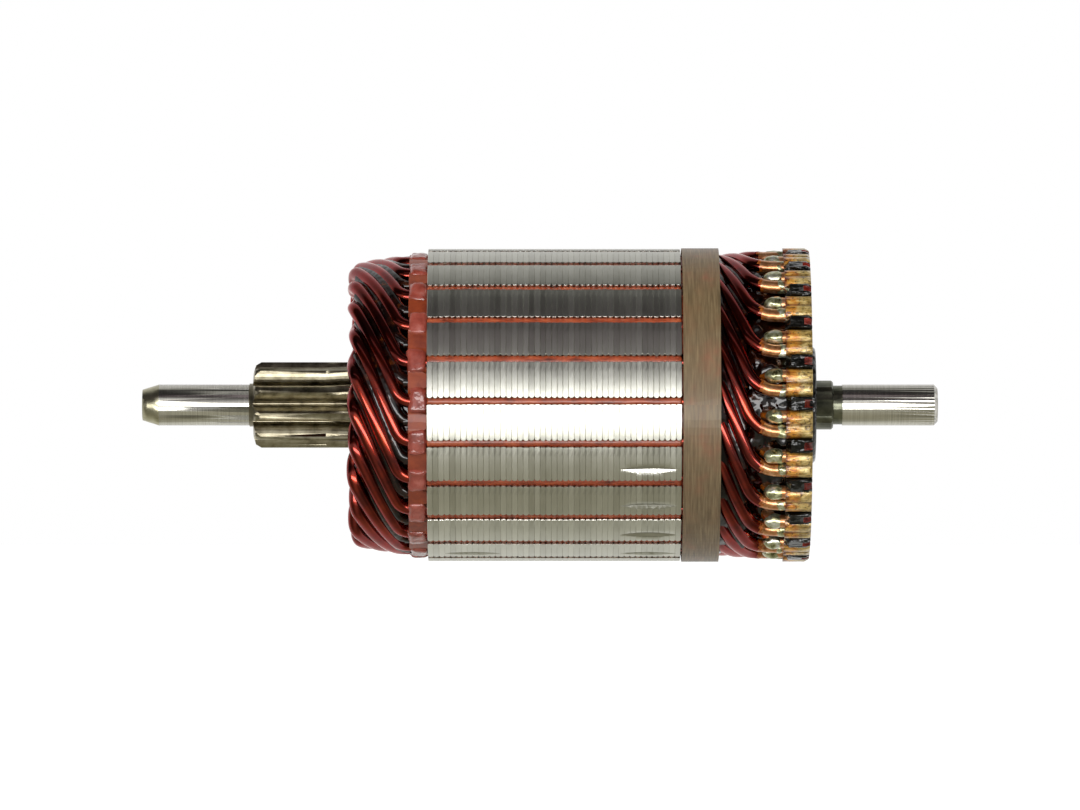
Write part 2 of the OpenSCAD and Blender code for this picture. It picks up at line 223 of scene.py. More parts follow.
def remove(obj):
    bpy.data.objects.remove(obj)


def roughen(obj, size, height, midlevel=0.5):
    """Moves a mesh in and out in soft lumps of the size given."""
    lumps = bpy.data.textures.new("lumps", "CLOUDS")
    lumps.noise_scale = size
    lumps.noise_depth = 2
    apply_modifier(obj, "DISPLACE", texture=lumps, texture_coords="LOCAL", strength=height,
                   mid_level=midlevel)


def clothe(obj, *materials):
    obj.data.materials.clear()
    for material in materials:
        obj.data.materials.append(material)


def settle(obj, slot, *nodes):
    """Hangs a finished piece on the root body and hides the CAD nodes that it stands for. The slot
    argument, the name of its finish, is not used.
    """
    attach(obj, "root")
    if nodes:
        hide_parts(*nodes)


def dressed_copy(node, material, degrees=30):
    """A CAD node's own shape with its loose triangles merged and its curves shaded smooth."""
    obj = copy_of(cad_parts[node], node + "_dressed")
    obj.parent = None
    for key in list(obj.keys()):
        del obj[key]
    edit(obj)
    bpy.ops.mesh.select_all(action="SELECT")
    bpy.ops.mesh.remove_doubles(threshold=0.001 * MM)
    leave_edit()
    clothe(obj, material)
    smooth(obj, degrees)
    return obj


# ---- Material helpers ----

def linear(hex_colour):
    """An sRGB hex value as a linear colour."""
    channels = [int(hex_colour[i:i + 2], 16) / 255 for i in (1, 3, 5)]
    return [c / 12.92 if c <= 0.04045 else ((c + 0.055) / 1.055) ** 2.4 for c in channels] + [1.0]


def add(tree, kind, values=(), links=(), **settings):
    """Adds a node with its settings, its sockets' values and what feeds its sockets."""
    node = tree.nodes.new("ShaderNode" + kind)
    for name, value in settings.items():
        setattr(node, name, value)
    for name, value in dict(values).items():
        node.inputs[name].default_value = value
    for name, socket in dict(links).items():
        tree.links.new(socket, node.inputs[name])
    return node


def new_material(name, **sockets):
    """A Principled material with its constant sockets set."""
    material = bpy.data.materials.new(name)
    material.use_nodes = True
    tree = material.node_tree
    shader = tree.nodes["Principled BSDF"]
    for socket, value in sockets.items():
        shader.inputs[socket.replace("_", " ")].default_value = value
    return material, tree, shader


def math_node(tree, operation, first, second):
    """A sum, product and so on of two sockets or numbers."""
    values, links = {}, {}
    for place, term in enumerate((first, second)):
        if isinstance(term, (int, float)):
            values[place] = term
        else:
            links[place] = term
    return add(tree, "Math", values, links, operation=operation).outputs[0]


def parts_of_place(tree):
    place = add(tree, "TexCoord").outputs["Object"]
    return add(tree, "SeparateXYZ", {}, {"Vector": place}).outputs


def lengths(tree, size):
    """Object coordinates counted in lengths of the size given."""
    place = add(tree, "TexCoord").outputs["Object"]
    return add(tree, "Mapping", {"Scale": (1 / size, 1 / size, 1 / size)},
               {"Vector": place}).outputs["Vector"]


def unrolled(tree, along_size, round_size):
    """Coordinates that unroll the armature: the station, then the length round the rim, each
    counted in lengths of its own size, so that a pattern can be drawn out either way."""
    place = parts_of_place(tree)
    angle = math_node(tree, "ARCTAN2", place["Z"], place["Y"])
    across = math_node(tree, "MULTIPLY", angle, CORE_R / round_size)
    along = math_node(tree, "MULTIPLY", place["X"], 1 / along_size)
    return add(tree, "CombineXYZ", {}, {"X": along, "Y": across}).outputs[0]


def distance_round(tree, place, first):
    """How far round the armature a place is from the nearest of the bars or ribs, whose first
    one stands at the angle given."""
    angle = math_node(tree, "ARCTAN2", place["Z"], place["Y"])
    step = math_node(tree, "DIVIDE", math_node(tree, "ADD", angle, -first), PITCH)
    off = math_node(tree, "SUBTRACT", step, math_node(tree, "ROUND", step, 0))
    turn = math_node(tree, "MULTIPLY", math_node(tree, "ABSOLUTE", off, 0), PITCH)
    return math_node(tree, "MULTIPLY", turn, distance_out(tree, place))


def distance_out(tree, place):
    """How far a place is from the shaft's axis."""
    flat = add(tree, "CombineXYZ", {}, {"X": place["Y"], "Y": place["Z"]}).outputs[0]
    return add(tree, "VectorMath", {}, {0: flat}, operation="LENGTH").outputs["Value"]


def noise(tree, vector, detail=2.0, roughness=0.5, distortion=0.0):
    return add(tree, "TexNoise",
               {"Scale": 1.0, "Detail": detail, "Roughness": roughness, "Distortion": distortion},
               {"Vector": vector}).outputs["Fac"]


def ramp(tree, factor, stops):
    """A colour ramp from (place, hex colour) stops."""
    node = add(tree, "ValToRGB", {}, {"Fac": factor})
    elements = node.color_ramp.elements
    while len(elements) < len(stops):
        elements.new(0.5)
    for element, (place, colour) in zip(elements, stops):
        element.position = place
        element.color = linear(colour)
    return node.outputs["Color"]


def spread(tree, factor, low, high, from_low=0.0, from_high=1.0):
    return add(tree, "MapRange", {"From Min": from_low, "From Max": from_high,
                                  "To Min": low, "To Max": high}, {"Value": factor}).outputs[0]


def mix(tree, factor, first, second):
    """A blend of two colours, of which the second may be a plain hex value."""
    if isinstance(second, str):
        return add(tree, "Mix", {7: linear(second)}, {0: factor, 6: first}, data_type="RGBA").outputs[2]
    return add(tree, "Mix", {}, {0: factor, 6: first, 7: second}, data_type="RGBA").outputs[2]


def within(tree, value, low, high):
    """1 where a value lies between two limits, and 0 elsewhere."""
    return math_node(tree, "MULTIPLY", math_node(tree, "GREATER_THAN", value, low),
                     math_node(tree, "LESS_THAN", value, high))


def relief(tree, shader, height, strength, depth, socket="Normal"):
    rise = add(tree, "Bump", {"Strength": strength, "Distance": depth}, {"Height": height})
    tree.links.new(rise.outputs[0], shader.inputs[socket])


# ---- Materials ----

def ground_shaft_steel():
    """Carbon steel, turned and ground: fine bright lines round the journals, and brown heat and
    varnish stains on the gear, the collar and the blunt cone."""
    material, tree, shader = new_material("ground shaft steel", Metallic=1.0)
    x = parts_of_place(tree)["X"]
    gear = within(tree, x, GEAR_FACE - 0.9 * MM, CORE_END)
    collar = within(tree, x, CORE_END, COLLAR_END)
    cone = within(tree, x, SHAFT_START - MM, CONE_END)
    stains = noise(tree, lengths(tree, 2.4 * MM), 4.0, 0.6)
    lines = noise(tree, unrolled(tree, 0.2 * MM, 400 * MM), 3.0, 0.6)
    journal = ramp(tree, lines, [(0.3, "#c4c1b8"), (0.7, "#e0ddd4")])
    teeth = ramp(tree, stains, [(0.3, "#6a6250"), (0.5, "#9c947e"), (0.72, "#bab29a")])
    dark = ramp(tree, stains, [(0.3, "#5a5c50"), (0.7, "#8a8b78")])
    olive = ramp(tree, stains, [(0.3, "#aea98f"), (0.7, "#d8d3ba")])
    colour = mix(tree, gear, journal, teeth)
    colour = mix(tree, collar, colour, dark)
    colour = mix(tree, cone, colour, olive)
    tree.links.new(colour, shader.inputs["Base Color"])
    ground = spread(tree, lines, 0.16, 0.26)
    rough = spread(tree, stains, 0.26, 0.42)
    cut = math_node(tree, "MAXIMUM", gear, math_node(tree, "MAXIMUM", collar, cone))
    finish = add(tree, "Mix", {}, {0: cut, 2: ground, 3: rough}, data_type="FLOAT").outputs[0]
    tree.links.new(finish, shader.inputs["Roughness"])
    relief(tree, shader, lines, 0.06, 0.01 * MM)
    return material


def turned_lamination_steel():
    """Electrical steel sheet, its rim turned bright after stacking: each sheet has its own tone,
    with fine tool lines round it and a little varnish wiped over it."""
    material, tree, shader = new_material("turned lamination steel", Metallic=1.0)
    x = parts_of_place(tree)["X"]
    count = math_node(tree, "DIVIDE", math_node(tree, "ADD", x, -CORE_START), SHEET_PITCH)
    count = math_node(tree, "FLOOR", count, 0)
    tone = add(tree, "TexWhiteNoise", {}, {"W": count}, noise_dimensions="1D").outputs["Value"]
    patches = noise(tree, unrolled(tree, 3.2 * MM, 5 * MM), 3.0, 0.55)
    lines = noise(tree, unrolled(tree, 0.18 * MM, 6 * MM), 3.0, 0.65)
    both = math_node(tree, "ADD", math_node(tree, "ADD", tone, patches), lines)
    colour = ramp(tree, spread(tree, both, 0, 1, 0.7, 2.3),
                  [(0.1, "#c2c1b8"), (0.5, "#d2d1c8"), (0.9, "#e0dfd6")])
    tree.links.new(colour, shader.inputs["Base Color"])
    tree.links.new(spread(tree, both, 0.33, 0.43, 0.8, 2.2), shader.inputs["Roughness"])
    waves = math_node(tree, "ADD", patches, math_node(tree, "MULTIPLY", lines, 0.12))
    relief(tree, shader, waves, 0.6, 0.1 * MM)
    return material


def fresh_cut_steel():
    """Steel where a balancing wheel has dipped in: brighter, with lines along the cut."""
    material, tree, shader = new_material("fresh cut steel", Metallic=1.0, Roughness=0.3)
    lines = noise(tree, unrolled(tree, 4 * MM, 0.12 * MM))
    colour = ramp(tree, lines, [(0.3, "#9a998f"), (0.7, "#cfcec6")])
    tree.links.new(colour, shader.inputs["Base Color"])
    relief(tree, shader, lines, 0.4, 0.02 * MM)
    return material


def red_wire_enamel():
    """Copper wire under dark red enamel and dipping varnish: a tinted metal shine in long
    streaks, with a hard clear skin over it."""
    material, tree, shader = new_material(
        "red wire enamel", Metallic=1.0, Coat_Weight=1.0, Coat_Roughness=0.03, Coat_IOR=1.4,
        Specular_Tint=linear("#e07058"))
    blotches = noise(tree, lengths(tree, 4.5 * MM), 3.0, 0.6)
    colour = ramp(tree, blotches, [(0.3, "#600f02"), (0.5, "#841c04"), (0.75, "#a03208")])
    tree.links.new(colour, shader.inputs["Base Color"])
    tree.links.new(spread(tree, blotches, 0.12, 0.24), shader.inputs["Roughness"])
    runs = noise(tree, lengths(tree, 2 * MM))
    relief(tree, shader, runs, 0.12, 0.05 * MM, "Coat Normal")
    return material


def bare_lead_copper():
    """Copper wire scraped bare for joining, under a thin golden varnish."""
    material, tree, shader = new_material(
        "bare lead copper", Metallic=0.9, Coat_Weight=0.8, Coat_Roughness=0.1)
    blotches = noise(tree, lengths(tree, 1.4 * MM), 4.0, 0.65)
    colour = ramp(tree, blotches, [(0.3, "#9c5a34"), (0.5, "#d8945c"), (0.72, "#f4c098")])
    tree.links.new(colour, shader.inputs["Base Color"])
    tree.links.new(spread(tree, blotches, 0.25, 0.42), shader.inputs["Roughness"])
    relief(tree, shader, blotches, 0.3, 0.06 * MM)
    return material


def cut_enamel():
    """The ring where the enamel was scraped back: thin, burnt amber and uneven."""
    material, tree, shader = new_material(
        "cut enamel", Metallic=0.4, Roughness=0.3, Coat_Weight=1.0, Coat_Roughness=0.05)
    blotches = noise(tree, lengths(tree, 1.0 * MM), 3.0)
    colour = ramp(tree, blotches, [(0.3, "#7a3208"), (0.6, "#c0661a"), (0.8, "#dc9a40")])
    tree.links.new(colour, shader.inputs["Base Color"])
    relief(tree, shader, blotches, 0.5, 0.1 * MM)
    return material


def brazed_lead_alloy():
    """The joint between a lead and its bar: pale silvery alloy, yellowed by varnish."""
    material, tree, shader = new_material(
        "brazed lead alloy", Metallic=0.85, Coat_Weight=0.8, Coat_Roughness=0.08)
    blotches = noise(tree, lengths(tree, 1.6 * MM), 4.0, 0.6)
    colour = ramp(tree, blotches, [(0.34, "#5e5a28"), (0.5, "#c4c498"), (0.64, "#f0f0e4")])
    tree.links.new(colour, shader.inputs["Base Color"])
    tree.links.new(spread(tree, blotches, 0.2, 0.4), shader.inputs["Roughness"])
    relief(tree, shader, blotches, 0.4, 0.08 * MM)
    return material


def varnished_bar_copper():
    """Copper bar under baked golden varnish: amber and smooth by the lead, mottled khaki and
    brown towards the brush face, with lengthwise drag lines and painted shade along each bar's sides."""
    material, tree, shader = new_material(
        "varnished bar copper", Metallic=0.4, Coat_Weight=1.0, Coat_Roughness=0.06)
    streaks = noise(tree, unrolled(tree, 2.2 * MM, 0.8 * MM), 4.0, 0.65, 0.6)
    specks = noise(tree, lengths(tree, 0.5 * MM), 2.0)
    ridges = noise(tree, unrolled(tree, 3.5 * MM, 0.9 * MM), 2.0)
    place = parts_of_place(tree)
    along = spread(tree, place["X"], 0, 1, BARS_BACK, BARS_FACE)
    across = distance_round(tree, place, bar_angle(0))
    amber = ramp(tree, streaks, [(0.3, "#9c4410"), (0.5, "#d8902e"), (0.7, "#f4c460")])
    khaki = ramp(tree, streaks, [(0.34, "#785e2a"), (0.5, "#c4a45a"), (0.66, "#f0d894")])
    wander = math_node(tree, "ADD", along, spread(tree, streaks, -0.3, 0.3))
    colour = mix(tree, spread(tree, wander, 0, 1, 0.35, 0.6), amber, khaki)
    seam = spread(tree, across, 1, 0, 0.05 * MM, 0.5 * MM)
    # Painted shade: the outer 0.6 mm of each bar's sides, where they turn down towards the ribs, is
    # darkened to near-black brown.
    edge = spread(tree, across, 0, 1, 2.3 * MM, 2.9 * MM)
    back = spread(tree, wander, 1, 0, 0.0, 0.16)
    speck = spread(tree, specks, 0, 1, 0.56, 0.66)
    for mask, strength, stain in ((seam, 0.55, "#4a2c0c"), (edge, 0.75, "#2a1808"),
                                  (back, 0.85, "#5c1206"), (speck, 0.7, "#241606")):
        colour = mix(tree, math_node(tree, "MULTIPLY", mask, strength), colour, stain)
    tree.links.new(colour, shader.inputs["Base Color"])
    tree.links.new(spread(tree, streaks, 0.22, 0.45), shader.inputs["Roughness"])
    lobes = spread(tree, across, 0, 1, 0.0, 1.3 * MM)
    height = math_node(tree, "ADD", streaks, math_node(tree, "MULTIPLY", lobes, 1.2))
    relief(tree, shader, height, 0.7, 0.25 * MM)
    relief(tree, shader, ridges, 0.9, 0.4 * MM, "Coat Normal")
    return material


def black_phenolic():
    """Black phenolic, moulded and dipped in varnish: hard gloss over fine lumps, with the
    brick-red inside of the moulding laid open where the face slots were sawn."""
    material, tree, shader = new_material("black phenolic", Roughness=0.07)
    place = parts_of_place(tree)
    off_slot = distance_round(tree, place, bar_angle(0.5))
    in_slot = math_node(tree, "LESS_THAN", off_slot, FACE_SLOT_HALF)
    deep = within(tree, place["X"], BARS_FACE - FACE_SLOT_DEPTH, BARS_FACE + 0.01 * MM)
    outer = math_node(tree, "GREATER_THAN", distance_out(tree, place), FACE_SLOT_FROM_R)
    sawn = math_node(tree, "MULTIPLY", math_node(tree, "MULTIPLY", in_slot, deep), outer)
    lumps = noise(tree, lengths(tree, 1.2 * MM), 2.0)
    black = ramp(tree, lumps, [(0.3, "#080706"), (0.7, "#151410")])
    red = ramp(tree, lumps, [(0.3, "#5c150d"), (0.7, "#a03a2c")])
    tree.links.new(mix(tree, sawn, black, red), shader.inputs["Base Color"])
    relief(tree, shader, lumps, 1.0, 0.32 * MM)
    return material


def red_fibre_board():
    """Vulcanised fibre board, brick red and smooth, under a coat of varnish."""
    material, tree, shader = new_material(
        "red fibre board", Roughness=0.5, Coat_Weight=0.3, Coat_Roughness=0.15)
    fibres = noise(tree, lengths(tree, 2.5 * MM), 4.0, 0.6)
    colour = ramp(tree, fibres, [(0.3, "#6e2610"), (0.7, "#96401c")])
    tree.links.new(colour, shader.inputs["Base Color"])
    relief(tree, shader, fibres, 0.3, 0.05 * MM)
    return material


def red_cuff_paper():
    """Slot paper, pinkish brick red, folded back over the core's end and soaked in varnish."""
    material, tree, shader = new_material(
        "red cuff paper", Roughness=0.42, Coat_Weight=1.0, Coat_Roughness=0.05)
    clouds = noise(tree, lengths(tree, 2.8 * MM), 4.0, 0.6)
    colour = ramp(tree, clouds, [(0.3, "#74281a"), (0.55, "#9c4638"), (0.8, "#b8685a")])
    tree.links.new(colour, shader.inputs["Base Color"])
    relief(tree, shader, clouds, 0.4, 0.12 * MM)
    runs = noise(tree, lengths(tree, 1.6 * MM), 2.0)
    relief(tree, shader, runs, 1.0, 0.35 * MM, "Coat Normal")
    return material


def slot_varnish():
    """Red impregnating varnish set hard in the slot mouths: glossy, orange where it is thin
    over the paper and brown where dust has stuck."""
    material, tree, shader = new_material(
        "slot varnish", Roughness=0.4, Coat_Weight=0.5, Coat_Roughness=0.05)
    clouds = noise(tree, unrolled(tree, 4 * MM, 1.2 * MM), 4.0, 0.65)
    colour = ramp(tree, clouds, [(0.3, "#5c1e0c"), (0.5, "#a04422"), (0.75, "#bc6038")])
    tree.links.new(colour, shader.inputs["Base Color"])
    relief(tree, shader, clouds, 0.3, 0.1 * MM)
    return material


def dark_dipping_varnish():
    """Dipping varnish run thick between the wires and behind the bars: nearly black red, wet
    and lumpy."""
    material, tree, shader = new_material(
        "dark dipping varnish", Roughness=0.04)
    clouds = noise(tree, lengths(tree, 2.2 * MM), 3.0, 0.6)
    waves = noise(tree, lengths(tree, 1.8 * MM), 1.0)
    colour = ramp(tree, clouds, [(0.42, "#060302"), (0.6, "#1c0804"), (0.85, "#6a3410")])
    tree.links.new(colour, shader.inputs["Base Color"])
    relief(tree, shader, waves, 0.6, 0.25 * MM)
    return material


def glass_band():
    """Resin-glass tape wound round the leads: greenish brown, fine glass strands round the
    band, with the red of the wires showing through in clouds."""
    material, tree, shader = new_material(
        "resin glass band", Roughness=0.5, Coat_Weight=0.25, Coat_Roughness=0.2)
    strands = noise(tree, unrolled(tree, 0.35 * MM, 7 * MM), 4.0, 0.6)
    clouds = noise(tree, unrolled(tree, 5 * MM, 7 * MM), 3.0, 0.55)
    tape = ramp(tree, strands, [(0.3, "#584a32"), (0.5, "#736044"), (0.7, "#8a7756")])
    below = ramp(tree, clouds, [(0.35, "#5c5432"), (0.6, "#825a3e"), (0.75, "#94543c")])
    tree.links.new(mix(tree, spread(tree, clouds, 0, 0.55, 0.4, 0.75), tape, below),
                   shader.inputs["Base Color"])
    relief(tree, shader, strands, 0.25, 0.05 * MM)
    return material


SHAFT_STEEL = ground_shaft_steel()
SHEET_STEEL = turned_lamination_steel()
CUT_STEEL = fresh_cut_steel()
ENAMEL = red_wire_enamel()
LEAD_COPPER = bare_lead_copper()
CUT_ENAMEL = cut_enamel()
BRAZE = brazed_lead_alloy()
BAR_COPPER = varnished_bar_copper()
PHENOLIC = black_phenolic()
FIBRE = red_fibre_board()
CUFF_PAPER = red_cuff_paper()
SLOT_VARNISH = slot_varnish()
DARK_VARNISH = dark_dipping_varnish()
BAND_GLASS = glass_band()


# ---- Core ----

def slot_cutter():
    """The shape that a punch takes out for one slot: parallel sides, then a narrow mouth."""
    bpy.ops.mesh.primitive_cube_add(size=1, location=(0, (SLOT_TOP_R + SLOT_FLOOR_R) / 2, 0))
    cutter = bpy.context.object
    cutter.scale = (4 * SHEET_PITCH, SLOT_TOP_R - SLOT_FLOOR_R, SLOT_W)
    apply_place(cutter)
    edit(cutter)
    pick(cutter, "FACE", lambda face: face.normal.y > 0.9)
    bpy.ops.mesh.extrude_region_move()
    bpy.ops.transform.resize(value=(1, 1, MOUTH_W / SLOT_W))
    bpy.ops.mesh.extrude_region_move(TRANSFORM_OT_translate={"value": (0, 2.5 * MM, 0)})
    leave_edit()
    return cutter


def punched_sheet():
    """One sheet of the core: a disc with its slots and bore punched out, its tooth tips
    rounded beside the slots and its rim edges broken by the turning tool."""
    bpy.ops.mesh.primitive_cylinder_add(vertices=8 * SLOTS, radius=CORE_R, depth=SHEET_PITCH,
                                        rotation=(0, math.pi / 2, 0))
    sheet = bpy.context.object
    apply_place(sheet)
    first = slot_cutter()
    cutters = [copy_of(first, "slot", slot_angle(k)) for k in range(SLOTS)]
    remove(first)
    bpy.ops.mesh.primitive_cylinder_add(vertices=48, radius=BORE_R, depth=4 * SHEET_PITCH,
                                        rotation=(0, math.pi / 2, 0))
    bore = bpy.context.object
    apply_place(bore)
    punch = join(cutters + [bore], "punch")
    apply_modifier(sheet, "BOOLEAN", operation="DIFFERENCE", solver="EXACT", object=punch)
    remove(punch)
    merge_and_face_out(sheet)

    def radius_of(vertex):
        return math.hypot(vertex.co.y, vertex.co.z)

    def off_slot(vertex):
        angle = math.atan2(vertex.co.z, vertex.co.y) - SLOT_TURN
        return (angle / PITCH - round(angle / PITCH)) * PITCH * radius_of(vertex)

    def beside_mouth(edge):
        a, b = edge.verts
        if abs(a.co.x - b.co.x) > 0.01 * MM or abs(radius_of(a) - radius_of(b)) < 0.3 * MM:
            return False
        return all(abs(off_slot(v)) < 0.65 * MM and radius_of(v) > SLOT_TOP_R - 0.1 * MM
                   for v in (a, b))

    def on_rim(edge):
        if min(radius_of(v) for v in edge.verts) < CORE_R - 0.06 * MM:
            return False
        return len(edge.link_faces) == 2 and edge.calc_face_angle() > 0.6

    edit(sheet)
    pick(sheet, "EDGE", beside_mouth)
    bpy.ops.mesh.bevel(offset=0.48 * MM, segments=4, affect="EDGES")
    pick(sheet, "EDGE", on_rim)
    bpy.ops.mesh.bevel(offset=0.07 * MM, segments=1, affect="EDGES")
    leave_edit()
    return sheet


def scoop_cutter(station, turn):
    """The vee-edged wheel that takes a balancing scoop out of a tooth."""
    wheel_r = ((SCOOP_LENGTH / 2) ** 2 + SCOOP_DEPTH ** 2) / (2 * SCOOP_DEPTH)
    side_r = wheel_r - MM
    half = MM * math.tan(SCOOP_VEE)
    bpy.ops.mesh.primitive_cone_add(vertices=256, radius1=wheel_r, radius2=side_r, depth=half)
    wheel = bpy.context.object
    edit(wheel)
    pick(wheel, "FACE", lambda face: face.normal.z < -0.9)
    bpy.ops.mesh.extrude_region_move(TRANSFORM_OT_translate={"value": (0, 0, -half)})
    bpy.ops.transform.resize(value=(side_r / wheel_r, side_r / wheel_r, 1))
    leave_edit()
    wheel.location = (SHAFT_START + station, CORE_R - SCOOP_DEPTH + wheel_r, half / 2)
    apply_place(wheel)
    wheel.data.transform(Matrix.Rotation(turn, 4, "X"))
    clothe(wheel, CUT_STEEL)
    return wheel


def lamination_stack():
    """The sheets, pressed on side by side, then turned and balanced as one."""
    first = punched_sheet()
    clothe(first, SHEET_STEEL)
    sheets = []
    for i in range(SHEETS):
        shift = CORE_START + (i + 0.5) * SHEET_PITCH
        sheets.append(copy_of(first, "lamination_%02d" % (i + 1),
                              math.radians(rng.uniform(-0.1, 0.1)), shift))
    remove(first)
    scoops = [(REAR_SCOOPS, s) for s in (1, 2, 3, 4)] + [(DRIVE_SCOOP, 4)]
    for station, s in scoops:
        wheel = scoop_cutter(station, slot_angle(s + 0.5) + SCOOP_TURN)
        reach = SCOOP_LENGTH / 2 + SHEET_PITCH
        for i, sheet in enumerate(sheets):
            if abs(CORE_START + (i + 0.5) * SHEET_PITCH - SHAFT_START - station) < reach:
                apply_modifier(sheet, "BOOLEAN", operation="DIFFERENCE", solver="EXACT",
                               object=wheel, material_mode="TRANSFER")
        remove(wheel)
    for sheet in sheets:
        smooth(sheet, 40)
        settle(sheet, "lamination_steel", "lamination_stack")


# ---- Winding ----

def corner(x, radius, turn, reach, steps=8):
    """A corner of a wire's path, unrolled, with the reach of the bend that rounds it."""
    return Vector((x, radius, turn * LAYER_R)), reach, steps


def in_space(point):
    angle = point.z / LAYER_R
    return Vector((point.x, point.y * math.cos(angle), point.y * math.sin(angle)))


def route(corners, step=1.5 * MM):
    """Points along straight runs between corners, each corner rounded into a bend."""
    points = [corners[0][0]]
    for i in range(1, len(corners)):
        place, reach, steps = corners[i]
        start = points[-1]
        back = (corners[i - 1][0] - place).normalized()
        entry = place + reach * back
        count = max(1, round((entry - start).length / step))
        points += [start.lerp(entry, n / count) for n in range(1, count + 1)]
        if i + 1 < len(corners) and reach > 0:
            leave = place + reach * (corners[i + 1][0] - place).normalized()
            for n in range(1, steps + 1):
                t = n / steps
                points.append(entry.lerp(place, t).lerp(place.lerp(leave, t), t))
    return [in_space(point) for point in points]


def coil_corners():
    """A coil's route from its outer end in one bar, through the outer layer, round the drive
    end, back through the inner layer and up to another bar. No two coils lie quite alike."""
    knuckle = KNUCKLE_X + rng.uniform(-0.35, 0.25) * MM
    outer = OVERHANG_R + rng.uniform(-0.12, 0.12) * MM
    outer_lead = LEAD_TURN + LEAD_HALF_TURN
    inner_lead = FAR_TURN - 2.5 * PITCH + BAR_TURN - LEAD_HALF_TURN
    turn_back = math.hypot(outer - INNER_OVERHANG_R, 2 * KNUCKLE_LEAN * LAYER_R) / 2 - 0.06 * MM
    return [
        corner(BARS_BACK, LEAD_R, outer_lead, 0),
        corner(BARS_BACK - LEAD_BEND, LEAD_R, outer_lead, LEAD_REACH, 14),
        corner(CORE_END + LEAD_START, LAYER_R, 0, 1.1 * MM),
        corner(CORE_START - DRIVE_TAIL, LAYER_R, 0, 2.4 * MM, 12),
        corner(knuckle, outer, -DRIVE_TURN + KNUCKLE_LEAN, turn_back),
        corner(knuckle, INNER_OVERHANG_R, -RETURN_TURN - KNUCKLE_LEAN, turn_back),
        corner(CORE_START - DRIVE_TAIL, INNER_LAYER_R, FAR_TURN, 1.1 * MM),
        corner(CORE_END + REAR_TAIL, INNER_LAYER_R, FAR_TURN, 1.1 * MM),
        corner(BARS_BACK - 4.6 * MM, INNER_LAYER_R, inner_lead, 1.2 * MM),
        corner(BARS_BACK - 2.2 * MM, LEAD_R, inner_lead, 1.2 * MM),
        corner(BARS_BACK, LEAD_R, inner_lead, 0)]


def drawn_wire(name, points, radius_at, sides=3):
    """A round wire drawn along points, made a mesh."""
    curve = bpy.data.curves.new(name, "CURVE")
    curve.dimensions = "3D"
    curve.bevel_depth = WIRE_R
    curve.bevel_resolution = sides
    curve.use_fill_caps = True
    spline = curve.splines.new("POLY")
    spline.points.add(len(points) - 1)
    for spot, place in zip(spline.points, points):
        spot.co = (*place, 1)
        spot.radius = radius_at(place) / WIRE_R
    wire = bpy.data.objects.new(name, curve)
    bpy.context.scene.collection.objects.link(wire)
    activate(wire)
    bpy.ops.object.convert(target="MESH")
    return wire


def coil(k):
    """One hairpin coil: enamelled, with its two ends bared where they meet the bars."""
    def radius_at(place):
        if ENAMEL_END < place.x < ENAMEL_END + CUT_RING:
            return BARE_R + 0.11 * MM
        return BARE_R if place.x > ENAMEL_END else WIRE_R

    wire = drawn_wire("coil_%02d_wire" % k, route(coil_corners()), radius_at, 6)
    wire.data.transform(Matrix.Rotation(slot_angle(k - 1), 4, "X"))
    clothe(wire, ENAMEL, LEAD_COPPER, CUT_ENAMEL)
    for face in wire.data.polygons:
        if face.center.x > ENAMEL_END:
            face.material_index = 1 if face.center.x > ENAMEL_END + CUT_RING else 2
    smooth(wire, 60)
    settle(wire, "enamelled_copper", "coil_%02d" % k)


def winding():
    for k in range(1, SLOTS + 1):
        coil(k)


def varnish_between_wires():
    """Varnish that has run into the valleys between the outer wires of the drive end and of
    the commutator end, and set there in a smooth wandering fillet."""
    beads = []
    drive = [corner(CORE_START - DRIVE_TAIL + 0.6 * MM, LAYER_R - 0.2 * MM, 0.0, 0),
             corner(CORE_START - DRIVE_TAIL, LAYER_R - 0.2 * MM, 0, 2.4 * MM),
             corner(KNUCKLE_X + 0.8 * MM, OVERHANG_R - 0.2 * MM, -DRIVE_TURN * 0.95, 0)]
    rear = [corner(BARS_BACK - 8 * MM, LEAD_R - 0.3 * MM, (LEAD_TURN + LEAD_HALF_TURN) * 0.8, 0),
            corner(CORE_END + LEAD_START + MM, LAYER_R - 0.5 * MM, 0.1 * PITCH, 0)]
    for k in range(SLOTS):
        for corners, fullness in ((drive, 1.1 * MM), (rear, 0.8 * MM)):
            phase = rng.uniform(0, math.tau)

            def radius_at(place):
                return fullness + 0.13 * MM * math.sin(phase + place.x / (1.3 * MM))

            bead = drawn_wire("bead", route(corners, 0.5 * MM), radius_at, 2)
            bead.data.transform(Matrix.Rotation(slot_angle(k + 0.5), 4, "X"))
            beads.append(bead)
    beads = join(beads, "varnish_between_wires")
    clothe(beads, DARK_VARNISH)
    smooth(beads, 60)
    settle(beads, "band_resin")


def varnish_tube(name, start, start_r, end, end_r, cuts, lump, height):
    """A thin lumpy skin of varnish round the armature, from one station and radius to another."""
    bpy.ops.mesh.primitive_cone_add(vertices=276, radius1=start_r, radius2=end_r, depth=end - start,
                                    location=((start + end) / 2, 0, 0),
                                    rotation=(0, math.pi / 2, 0), end_fill_type="NOTHING")
    tube = bpy.context.object
    tube.name = name
    apply_place(tube)
    edit(tube)
    pick(tube, "EDGE", lambda edge: abs(edge.verts[0].co.x - edge.verts[1].co.x) > (end - start) / 2)
    bpy.ops.mesh.subdivide(number_cuts=cuts)
    leave_edit()
    roughen(tube, lump, height, 0.5)
    apply_modifier(tube, "SOLIDIFY", thickness=0.8 * MM, offset=-1)
    clothe(tube, DARK_VARNISH)
    smooth(tube, 60)
    return tube


